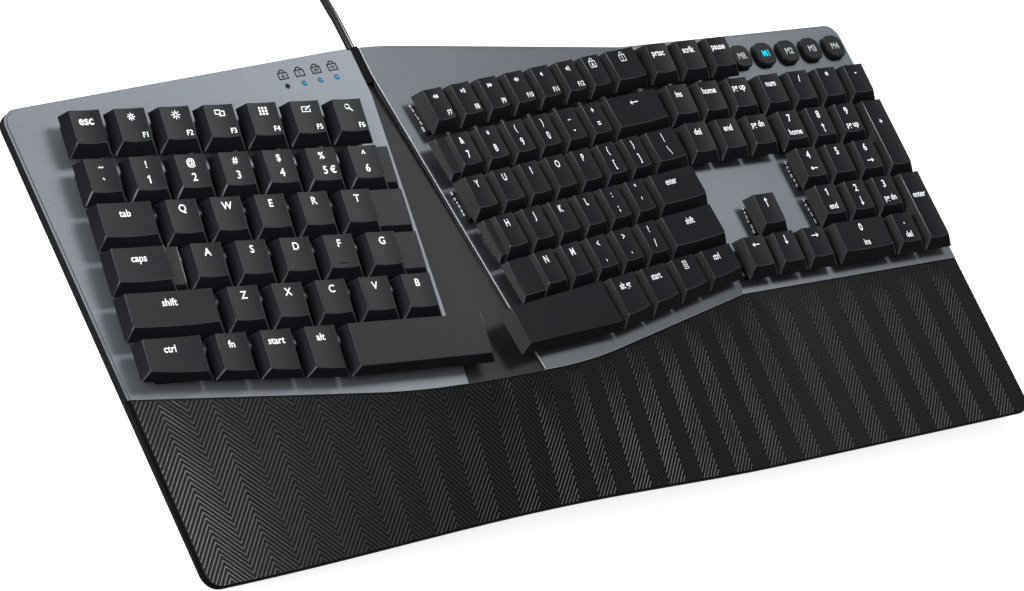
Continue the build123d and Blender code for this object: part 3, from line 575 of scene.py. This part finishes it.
def icon(ink, kind, x, y):
    """A small sign on a key, about a point."""
    if kind == "dim":
        sun(ink, x, y, 0.68)
    if kind == "bright":
        sun(ink, x, y, 0.8)
    if kind == "windows":
        box_line(ink, x, y, -2.0, 0.2, -0.5, 1.2, 0.42)
        ink.line([(x - 0.3, y - 1.2), (x + 1.9, y - 1.2), (x + 1.9, y + 0.7), (x + 0.9, y + 0.7)], 0.42)
    if kind == "grid":
        for i in range(9):
            ink.disc(x + (i % 3 - 1) * 1.4, y + (i // 3 - 1) * 1.25, 0.56, 8)
    if kind == "edit":
        sheet = [(x + 1.0, y + 1.0), (x - 1.8, y + 1.0), (x - 1.8, y - 1.1), (x + 1.7, y - 1.1), (x + 1.7, y)]
        ink.line(sheet, 0.35)
        ink.line([(x - 0.2, y - 0.2), (x + 1.9, y + 1.3)], 0.5)
    if kind == "search":
        ink.ring(x - 0.4, y + 0.4, 0.95, 0.38)
        ink.line([(x + 0.3, y - 0.3), (x + 1.5, y - 1.4)], 0.5)
    if kind in ("back", "skip"):
        way = -1 if kind == "back" else 1
        for shift in (-0.85, 0.85):
            base = x + shift - 0.8 * way
            ink.face([(base, y - 1.0), (x + shift + 0.9 * way, y), (base, y + 1.0)])
    if kind == "play":
        ink.face([(x - 1.4, y - 0.85), (x, y), (x - 1.4, y + 0.85)])
        for shift in (0.5, 1.25):
            ink.line([(x + shift, y - 0.8), (x + shift, y + 0.8)], 0.42)
    if kind in ("mute", "quiet", "loud"):
        ink.face([
            (x - 1.2, y - 0.45), (x - 0.6, y - 0.45), (x + 0.2, y - 1.1), (x + 0.2, y + 1.1),
            (x - 0.6, y + 0.45), (x - 1.2, y + 0.45),
        ])
    if kind == "mute":
        ink.line([(x + 0.6, y - 0.5), (x + 1.5, y + 0.5)], 0.32)
        ink.line([(x + 0.6, y + 0.5), (x + 1.5, y - 0.5)], 0.32)
    if kind == "loud":
        for radius in (0.75, 1.4):
            ink.ring(x + 0.2, y, radius, 0.3, -0.9, 0.9, 6)
    if kind == "menu":
        box_line(ink, x, y, -1.3, 1.3, -1.7, 1.7, 0.34)
        for shift in (-0.75, 0.05, 0.85):
            ink.line([(x - 0.7, y + shift), (x + 0.7, y + shift)], 0.3)


word_size = 2.9
word_drop = 4.4
sign_drop = 3.6
wide_key = 20


def legend(ink, spec, width, depth):
    """One key's lettering, drawn about the middle of its crown; sizes are the heights of capitals."""
    kind, words = spec[0], spec[1:]
    back = depth / 2
    front = -depth / 2
    if kind == "letter":
        ink.text(words[0], 0, back - 3.7, 3.1)
    if kind in ("pair", "money"):
        ink.text(words[0], 0, back - 3.3, 2.9)
        ink.text(words[1], 0, front + 4.4, 3.3)
    if kind == "money":
        ink.text(words[2], 3.4, front + 4.4, 3.0)
    if kind == "word":
        ink.text(words[0], -0.6, back - word_drop, word_size)
    if kind == "shifted word":
        ink.text(words[0], words[1], back - word_drop + words[2], word_size)
    if kind == "tall":
        ink.text(words[0], 0, depth * 0.17, word_size)
    if kind == "big word":
        ink.text(words[0], -0.2, back - 4.3, 3.7)
    if kind == "bars":
        ink.line([(0, back - 1.9), (0, back - 5.6)], 0.45)
        ink.line([(-0.5, front + 6.4), (0.9, front + 2.8)], 0.45)
    if kind in ("function", "sign"):
        icon(ink, words[0], 0, back - sign_drop)
    if kind == "function":
        ink.text(words[1], width / 2 - 2.9, front + 2.6, 2.2)
    if kind == "lock":
        padlock(ink, 0, back - sign_drop, words[0], 1.25, 0.34)
    if kind == "arrow":
        arrow(ink, 0, back - 4.0, words[0], 2.9 if width > wide_key else 2.1)
    if kind == "number":
        ink.text(words[0], 0, back - 3.5, 3.4)
        if words[1] in ("left", "right", "up", "down"):
            arrow(ink, 0, front + 3.8, words[1])
        elif words[1]:
            ink.text(words[1], 0, front + 3.6, 2.8)


legends = {
    "escape_key": [("big word", "esc")],
    "left_function_keys": [
        ("function", "dim", "F1"), ("function", "bright", "F2"), ("function", "windows", "F3"),
        ("function", "grid", "F4"), ("function", "edit", "F5"), ("function", "search", "F6"),
    ],
    "left_number_keys": [
        ("pair", "~", "`"), ("pair", "!", "1"), ("pair", "@", "2"), ("pair", "#", "3"),
        ("pair", "$", "4"), ("money", "%", "5", "€"), ("pair", "^", "6"),
    ],
    "tab_key": [("word", "tab")],
    "left_upper_letter_keys": [("letter", c) for c in "QWERT"],
    "caps_lock_key": [("word", "caps")],
    "left_home_letter_keys": [("letter", c) for c in "ASDFG"],
    "left_shift_key": [("word", "shift")],
    "left_lower_letter_keys": [("letter", c) for c in "ZXCVB"],
    "left_control_key": [("shifted word", "ctrl", -1.6, 0)],
    "left_modifier_keys": [("word", "fn"), ("word", "start"), ("word", "alt")],
    "right_function_keys": [
        ("function", "back", "F7"), ("function", "play", "F8"), ("function", "skip", "F9"),
        ("function", "mute", "F10"), ("function", "quiet", "F11"), ("function", "loud", "F12"),
        ("lock", "A"), ("lock", "1"),
    ],
    "right_number_keys": [
        ("pair", "&", "7"), ("pair", "*", "8"), ("pair", "(", "9"), ("pair", ")", "0"),
        ("pair", "_", "-"), ("pair", "+", "="),
    ],
    "backspace_key": [("arrow", "left")],
    "right_upper_letter_keys": [
        *(("letter", c) for c in "YUIOP"), ("pair", "{", "["), ("pair", "}", "]"),
    ],
    "backslash_key": [("bars",)],
    "right_home_letter_keys": [
        *(("letter", c) for c in "HJKL"), ("pair", ":", ";"), ("pair", "\"", "'"),
    ],
    "enter_key": [("shifted word", "enter", -3.4, 0)],
    "right_lower_letter_keys": [
        ("letter", "N"), ("letter", "M"), ("pair", "<", ","), ("pair", ">", "."), ("pair", "?", "/"),
    ],
    "right_shift_key": [("word", "shift")],
    "right_modifier_keys": [("word", "alt gr"), ("word", "start"), ("sign", "menu")],
    "right_control_key": [("shifted word", "ctrl", -2.0, 0.6)],
    "system_keys": [("word", "prtsc"), ("word", "scrlk"), ("word", "pause")],
    "navigation_keys": [
        ("word", "ins"), ("word", "home"), ("word", "pg up"),
        ("word", "del"), ("word", "end"), ("word", "pg dn"),
    ],
    "arrow_up_key": [("arrow", "up")],
    "arrow_left_key": [("arrow", "left")],
    "arrow_down_key": [("arrow", "down")],
    "arrow_right_key": [("arrow", "right")],
    "number_pad_keys": [
        ("word", "num"), ("letter", "/"), ("letter", "*"), ("letter", "-"),
        ("number", "7", "home"), ("number", "8", "up"), ("number", "9", "pg up"),
        ("number", "4", "left"), ("number", "5", ""), ("number", "6", "right"),
        ("number", "1", "end"), ("number", "2", "down"), ("number", "3", "pg dn"),
        ("number", ".", "del"),
    ],
    "pad_zero_key": [("number", "0", "ins")],
    "pad_plus_key": [("tall", "+")],
    "pad_enter_key": [("tall", "enter")],
}


crown_dish = 1.3 * mm
row_gap = 8 * mm
cap_edge_width = 0.22 * mm
cap_ridge_width = 0.42 * mm


def crowns(node, axes):
    """The keys of a node in any order: each crown's middle, and its width and depth in millimetres."""
    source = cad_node(node)
    work = bmesh.new()
    work.from_mesh(source.data)
    bmesh.ops.transform(work, matrix=axes.transposed().to_4x4() @ source.matrix_world, verts=work.verts)
    bmesh.ops.remove_doubles(work, verts=work.verts, dist=weld_distance)
    found = []
    waiting = set(work.verts)
    while waiting:
        island = [waiting.pop()]
        for vert in island:
            for edge in vert.link_edges:
                other = edge.other_vert(vert)
                if other in waiting:
                    waiting.remove(other)
                    island.append(other)
        top = max(v.co.z for v in island)
        high = [v.co for v in island if v.co.z > top - crown_dish]
        left = min(p.x for p in high)
        right = max(p.x for p in high)
        back = max(p.y for p in high)
        front = min(p.y for p in high)
        middle = Vector(((left + right) / 2, (back + front) / 2, top))
        found.append((middle, (right - left) / mm, (back - front) / mm))
    work.free()
    return found


def sorted_rows(found):
    """Crowns in reading order: rows from the back, each row from its left end."""
    rows = []
    for crown in sorted(found, key=lambda c: -c[0].y):
        if rows and abs(rows[-1][0][0].y - crown[0].y) < row_gap:
            rows[-1].append(crown)
        else:
            rows.append([crown])
    return [crown for row in rows for crown in sorted(row, key=lambda c: c[0].x)]


def surface_of(piece):
    """An object's surface in its own coordinates, to lay signs on; its place has to be the world's origin."""
    return BVHTree.FromObject(piece, bpy.context.evaluated_depsgraph_get())


def dress_keys(nodes, side):
    """Every key of a field: broken edges with painted highlights, and lettering."""
    axes = field_axes(side)
    # The second and last materials are lighter copies of the key plastic: painted highlights on the ridges
    # and the crown's rim.
    plastics = [key_plastic, key_ridge_highlight, key_rim_highlight]
    for node in nodes:
        cap = polished(node, node + "_cap", node, plastics, cap_edge_width, cap_ridge_width, axes.col[2])
        if node not in legends:
            continue
        found = sorted_rows(crowns(node, axes))
        ink = Ink()
        surface = surface_of(cap)
        for (middle, width, depth), spec in zip(found, legends[node]):
            ink.aim(surface, axes @ middle, axes)
            legend(ink, spec, width, depth)
        ink.finish(node + "_lettering", [ink_white], node)


for nodes, side in key_fields:
    dress_keys(nodes, side)

# Plates, case, panel and hidden parts

plate_edge_width = 0.18 * mm
least_top_facing = 0.5
least_back_facing = 0.3
outer_edge_x = -half_width + 3 * mm
least_rim_facing = 0.6
rim_shelf = 13 * mm


def dress_plate(node, metal):
    """A top plate with painted shade on its sides and a painted highlight on its broken edges; broken edges
    facing back, and every face at the far left, stay plain plate metal.
    """
    dressed = polished(node, node + "_dressed", root, [metal, plate_side_painted_shade, plate_edge_highlight], plate_edge_width)
    for polygon in dressed.data.polygons:
        # Faces that stand up get the darker copy: painted shade.
        if polygon.material_index == 0 and abs(polygon.normal.z) < least_top_facing:
            polygon.material_index = 1
        # The broken edges keep the bright copy, a painted highlight, except those facing back and every face
        # at the far left.
        centre = dressed.matrix_world @ polygon.center
        back_edge = polygon.material_index == 2 and polygon.normal.y > least_back_facing
        if back_edge or centre.x < outer_edge_x:
            polygon.material_index = 0
    return dressed


left_plate = dress_plate("left_top_plate", plate_metal)
# The right and number-pad plates take the lighter copy of the metal: painted light.
for node in ("right_top_plate", "number_pad_top_plate"):
    dress_plate(node, right_plate_painted_light_metal)
for node, material in (
    ("bottom_case", case_black), ("palm_rest_tray", case_black), ("centre_panel", panel_grey),
    ("left_switches", switch_black), ("right_switches", switch_black),
    # The boards' light grey is painted light in the shaded gap between the centre panel and the right plate.
    ("number_pad_switches", switch_black), ("left_circuit_board", board_painted_light_grey),
    ("right_circuit_board", board_painted_light_grey), ("number_pad_circuit_board", board_painted_light_grey),
    ("controller_board", board_painted_light_grey), ("case_screws", steel), ("rubber_feet", rubber),
    ("left_rear_foot", case_black), ("right_rear_foot", case_black), ("cable_boot", gloss_black),
    ("usb_plug", steel), ("usb_plug_housing", rubber), ("indicator_lamps", lamp_off),
    ("palm_rest_pad", palm_black), ("macro_buttons", button_plastic),
):
    paint(node, material)


def paint_rim():
    """The rim's narrow top around the plates is bare metal, like them."""
    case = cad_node("bottom_case")
    case.data.materials.append(plate_metal)
    axes = case.matrix_world.to_3x3()
    for polygon in case.data.polygons:
        height = (case.matrix_world @ polygon.center).z
        if (axes @ polygon.normal).z > least_rim_facing and height > rim_shelf:
            polygon.material_index = 1


paint_rim()


# Painted highlights: short bright strips on the switches that the camera sees under the left skirts

strip_seed = 7
strip_thickness = 0.35 * mm
strip_above_plate = 0.55 * mm
strip_back = 5.6 * mm
strip_front = 6.6 * mm
strip_beside_crown = 0.3 * mm
crown_above_plate = 9.35 * mm


def make_strips():
    """Short bright broken strips along the left side of each switch of the right half and the number pad,
    except the right space key: painted highlights on the switch edges.
    """
    generator = random.Random(strip_seed)
    work = bmesh.new()
    for nodes, side in key_fields[1:]:
        axes = field_axes(side)
        for node in nodes:
            if node == "right_space_key":
                continue
            for middle, width, _ in sorted_rows(crowns(node, axes)):
                left = middle.x - width / 2 * mm - strip_beside_crown
                height = middle.z - crown_above_plate + strip_above_plate
                y = middle.y + strip_back
                while y > middle.y - strip_front:
                    run = generator.uniform(0.8, 2.4) * mm
                    shift = generator.uniform(0.2, 0.9) * mm
                    box = bmesh.ops.create_cube(work, size=1.0)
                    size = Vector((generator.uniform(0.4, 0.8) * mm, run, strip_thickness))
                    centre = Vector((left + shift, y - run / 2, height))
                    for vert in box["verts"]:
                        local = Vector([c * s for c, s in zip(vert.co, size)]) + centre
                        vert.co = axes @ local
                    y -= run + generator.uniform(0.4, 1.3) * mm
    mesh = bpy.data.meshes.new("switch_highlight_strips")
    work.to_mesh(mesh)
    work.free()
    new_object("switch_highlight_strips", mesh, [switch_edge_highlight], root)


make_strips()

# Palm rest ribs: zigzag ridges in a lighter copy of the pad's rubber, a painted highlight, laid on the pad
# and trimmed at the seam and at the edges

rib_half_period = 10.745 * mm
rib_first = -226.1 * mm
rib_slope = 1.13
rib_pitch = 2.42 * mm
rib_foot = 1.15 * mm
rib_crest = 0.35 * mm
rib_height = 0.3 * mm
rib_border = 1.0 * mm
rib_front_border = 0.25 * mm
rib_seam_gap = 1.0 * mm
rib_sink = 0.05 * mm
rib_weld = 0.002 * mm
rib_spare = 8
front_bevel = 2.4 * mm
probe_step = 2 * mm
probe_height = 0.2
probe_reach = 0.3
corner = 6.8 * mm
corner_stations = 5
cut_tolerance = 1e-7
seam_slope = 0.2015
seam_round = 343 * mm
seam_flat_y = -23.3 * mm


def seam_y(x):
    """Where the palm rest ends, from the CAD source."""
    low = seam_flat_y - (crease_x - ridge_x) * seam_slope
    reach = abs(x - ridge_x)
    bend = seam_round * math.sin(math.atan(seam_slope))
    if x >= crease_x:
        return seam_flat_y
    if reach >= bend:
        return low + reach * seam_slope
    centre = low + bend * seam_slope + math.sqrt(seam_round ** 2 - bend ** 2)
    return centre - math.sqrt(seam_round ** 2 - reach ** 2)


def front_limit(x):
    """Where the ribs end at the front, round the corners too."""
    radius = corner - rib_border
    inside = max(0.0, abs(x) - (half_width - corner))
    inside = min(inside, radius)
    return -half_depth + corner - math.sqrt(radius ** 2 - inside ** 2) - (rib_border - rib_front_border)


def probed(surface, x, y):
    """Height of the surface at a place in plan, or None beside it."""
    hit, _, _, _ = surface.ray_cast(Vector((x, y, probe_height)), Vector((0, 0, -1)), probe_reach)
    return None if hit is None else hit.z


def pad_height(surface, x, y):
    """Height of the palm rest, straight on over the bevel at its front."""
    inner = max(y, -half_depth + front_bevel)
    near = probed(surface, x, inner)
    if near is None or inner == y:
        return near
    far = probed(surface, x, inner + probe_step)
    return near + (near - far) * (inner - y) / probe_step


def front_fill(work, surface, x0, x1):
    """A thin wedge that carries the ribs over the bevel at the front."""
    ends = []
    for x in (x0, x1):
        low = front_limit(x)
        high = max(low, -half_depth + front_bevel)
        foot = probed(surface, x, low)
        top = pad_height(surface, x, low)
        if foot is None or top is None:
            return
        ends.append([
            work.verts.new((x, high, pad_height(surface, x, high))),
            work.verts.new((x, low, top)),
            work.verts.new((x, low, foot - rib_sink)),
        ])
    for j in range(2):
        work.faces.new((ends[0][j], ends[0][j + 1], ends[1][j + 1], ends[1][j]))


def rib_stations():
    """The X values where a rib turns or where its trimming bends."""
    edge = half_width - rib_border
    stations = {-edge, edge, ridge_x, crease_x}
    count = int(2 * half_width / rib_half_period) + 2
    for i in range(-1, count):
        stations.add(rib_first + i * rib_half_period)
    for i in range(1, corner_stations + 1):
        inward = i * (corner - rib_border) / corner_stations
        stations.add(edge - inward)
        stations.add(-edge + inward)
    return sorted(x for x in stations if -edge <= x <= edge)


def rib_shift(x):
    """How far forward a rib runs from its apex line."""
    phase = (x - rib_first) / (2 * rib_half_period)
    return abs(phase - round(phase)) * 2 * rib_half_period * rib_slope


def make_ribs():
    """The zigzag ribs of the palm rest, in the lighter rubber of the painted highlight."""
    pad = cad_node("palm_rest_pad")
    shape = bmesh.new()
    shape.from_mesh(pad.data)
    bmesh.ops.transform(shape, matrix=pad.matrix_world, verts=shape.verts)
    surface = BVHTree.FromBMesh(shape)
    shape.free()
    profile = (
        (-rib_foot / 2, 0), (-rib_crest / 2, rib_height), (rib_crest / 2, rib_height), (rib_foot / 2, 0),
    )
    whole = bmesh.new()
    stations = rib_stations()
    for x0, x1 in zip(stations, stations[1:]):
        strip = bmesh.new()
        back = max(seam_y(x0), seam_y(x1)) - rib_seam_gap
        count = int((back + half_depth) / rib_pitch) + rib_spare
        for i in range(-2, count):
            ends = []
            for x in (x0, x1):
                middle = -half_depth + i * rib_pitch - rib_shift(x)
                ends.append([strip.verts.new((x, middle + across, height)) for across, height in profile])
            for j in range(len(profile) - 1):
                face = strip.faces.new((ends[0][j], ends[1][j], ends[1][j + 1], ends[0][j + 1]))
                # Every rib face gets the lighter rubber: painted highlight.
                face.material_index = 1
        trim(strip, (x0, seam_y(x0) - rib_seam_gap), (x1, seam_y(x1) - rib_seam_gap), 1)
        trim(strip, (x0, front_limit(x0)), (x1, front_limit(x1)), -1)
        for vert in strip.verts:
            height = pad_height(surface, vert.co.x, vert.co.y)
            if height is not None:
                vert.co.z = height + (vert.co.z if vert.co.z > 0 else -rib_sink)
        front_fill(strip, surface, x0, x1)
        part = bpy.data.meshes.new("strip")
        strip.to_mesh(part)
        strip.free()
        whole.from_mesh(part)
        bpy.data.meshes.remove(part)
    bmesh.ops.remove_doubles(whole, verts=whole.verts, dist=rib_weld)
    bmesh.ops.recalc_face_normals(whole, faces=whole.faces)
    for face in whole.faces:
        if face.normal.z < 0:
            face.normal_flip()
    mesh = bpy.data.meshes.new("palm_ribs")
    whole.to_mesh(mesh)
    whole.free()
    new_object("palm_ribs", mesh, [palm_black, palm_rib_highlight], root)


def trim(strip, start, end, keep_front):
    """Cut a strip of ribs along a line in plan; keep_front is 1 to keep what is in front of it."""
    along = Vector((end[0] - start[0], end[1] - start[1], 0))
    normal = Vector((-along.y, along.x, 0)).normalized() * keep_front
    bmesh.ops.bisect_plane(
        strip, geom=strip.verts[:] + strip.edges[:] + strip.faces[:], dist=cut_tolerance,
        plane_co=(start[0], start[1], 0), plane_no=normal, clear_outer=True,
    )


make_ribs()

# Lock lamps with padlock signs over them, and the macro buttons' letters

left_plate_axes = Matrix.Rotation(-tent, 3, "Y")
lamp_first_x = ridge_x - 42.1 * mm
lamp_pitch = 7.8 * mm
lamp_y = half_depth - 11.75 * mm
lamp_sign_back = 5.1 * mm
button_last_x = half_width - 10.5 * mm
button_pitch = 15.6 * mm
button_y = half_depth - 12.55 * mm
button_top = deck_height + 3 * mm


def make_lamp_signs():
    """The padlock signs, and lit faces on three of the four lamps."""
    plate = surface_of(left_plate)
    lamps = surface_of(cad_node("indicator_lamps"))
    signs = Ink()
    lit = Ink()
    for i, letter in enumerate(("A", "1", "W", "FN")):
        x = lamp_first_x + i * lamp_pitch
        z = deck_height + (x + half_width) * tent_slope
        signs.aim(plate, Vector((x, lamp_y + lamp_sign_back, z)), left_plate_axes)
        padlock(signs, 0, 0, letter, 1.22, 0.5)
        if i > 0:
            lit.aim(lamps, Vector((x, lamp_y, z)), left_plate_axes)
            lit.disc(0, 0, 0.85, 16)
    signs.finish("lamp_signs", [ink_dark], root)
    lit.finish("lamp_light", [lamp_cyan], root)


def make_button_signs():
    """Generic letters on the five macro buttons, one of them lit."""
    surface = surface_of(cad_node("macro_buttons"))
    ink = Ink()
    names = ("MR", "M1", "M2", "M3", "M4")
    for i, letters in enumerate(names):
        x = button_last_x - (len(names) - 1 - i) * button_pitch
        ink.aim(surface, Vector((x, button_y, button_top)), Matrix.Identity(3), int(letters == "M1"))
        ink.text(letters, 0, 0, 3.1)
    ink.finish("macro_button_lettering", [ink_grey, ink_cyan], "macro_buttons")


make_lamp_signs()
make_button_signs()

# Light: a white surround and floor for the camera, a dimmer surround for the object, and soft panels

surround_color = (0.96, 0.98, 1.0, 1)
surround_strength = 0.19
panel_color = (0.95, 0.98, 1.0)
floor_half = 4.0
floor_gap = 0.2 * mm
floor_color = (0.8, 0.8, 0.8, 1)
floor_white = 0.8


def make_surround():
    """The world: white to the camera, and a dimmer near-white for everything else."""
    world = bpy.data.worlds.new("surround")
    scene.world = world
    world.use_nodes = True
    nodes = world.node_tree.nodes
    links = world.node_tree.links
    nodes.clear()
    output = nodes.new("ShaderNodeOutputWorld")
    choose = nodes.new("ShaderNodeMixShader")
    ray = nodes.new("ShaderNodeLightPath")
    seen = nodes.new("ShaderNodeBackground")
    seen.inputs["Color"].default_value = (1, 1, 1, 1)
    seen.inputs["Strength"].default_value = 1.0
    around = nodes.new("ShaderNodeBackground")
    around.inputs["Color"].default_value = surround_color
    around.inputs["Strength"].default_value = surround_strength
    links.new(ray.outputs["Is Camera Ray"], choose.inputs["Fac"])
    links.new(around.outputs["Background"], choose.inputs[1])
    links.new(seen.outputs["Background"], choose.inputs[2])
    links.new(choose.outputs["Shader"], output.inputs["Surface"])


def make_floor():
    """A plain white floor with the object's soft shadow; clear from below and to all but the camera."""
    mesh = bpy.data.meshes.new("floor")
    corners = ((-1, -1), (1, -1), (1, 1), (-1, 1))
    mesh.from_pydata([(x * floor_half, y * floor_half, 0) for x, y in corners], [], [(0, 1, 2, 3)])
    floor = bpy.data.objects.new("floor", mesh)
    floor.location.z = -floor_gap
    scene.collection.objects.link(floor)
    material, nodes, links, shader = new_material("floor_white")
    shader.inputs["Base Color"].default_value = floor_color
    shader.inputs["Roughness"].default_value = 0.9
    shader.inputs["Emission Color"].default_value = (1, 1, 1, 1)
    shader.inputs["Emission Strength"].default_value = floor_white
    ray = nodes.new("ShaderNodeLightPath")
    side = nodes.new("ShaderNodeNewGeometry")
    shown = nodes.new("ShaderNodeMath")
    shown.operation = "SUBTRACT"
    shown.use_clamp = True
    clear = nodes.new("ShaderNodeBsdfTransparent")
    choose = nodes.new("ShaderNodeMixShader")
    links.new(ray.outputs["Is Camera Ray"], shown.inputs[0])
    links.new(side.outputs["Backfacing"], shown.inputs[1])
    links.new(shown.outputs["Value"], choose.inputs["Fac"])
    links.new(clear.outputs["BSDF"], choose.inputs[1])
    links.new(shader.outputs["BSDF"], choose.inputs[2])
    links.new(choose.outputs["Shader"], nodes["Material Output"].inputs["Surface"])
    mesh.materials.append(material)


def soft_panel(name, place, size, power):
    """A rectangular light pointing at the middle of the keyboard."""
    light = bpy.data.lights.new(name, "AREA")
    light.shape = "RECTANGLE"
    light.size = size[0]
    light.size_y = size[1]
    light.energy = power
    light.color = panel_color
    holder = bpy.data.objects.new(name, light)
    scene.collection.objects.link(holder)
    holder.location = place
    holder.rotation_euler = (-Vector(place)).to_track_quat("-Z", "Y").to_euler()


make_surround()
make_floor()
soft_panel("overhead", (0.52, 0.42, 1.0), (0.5, 0.39), 9.7)
soft_panel("left_fill", (-1.0, 0.05, 0.45), (0.7, 0.7), 13)
soft_panel("back_strip", (0.0, 1.1, 0.68), (1.3, 0.4), 8.8)

scene.view_settings.view_transform = "Standard"
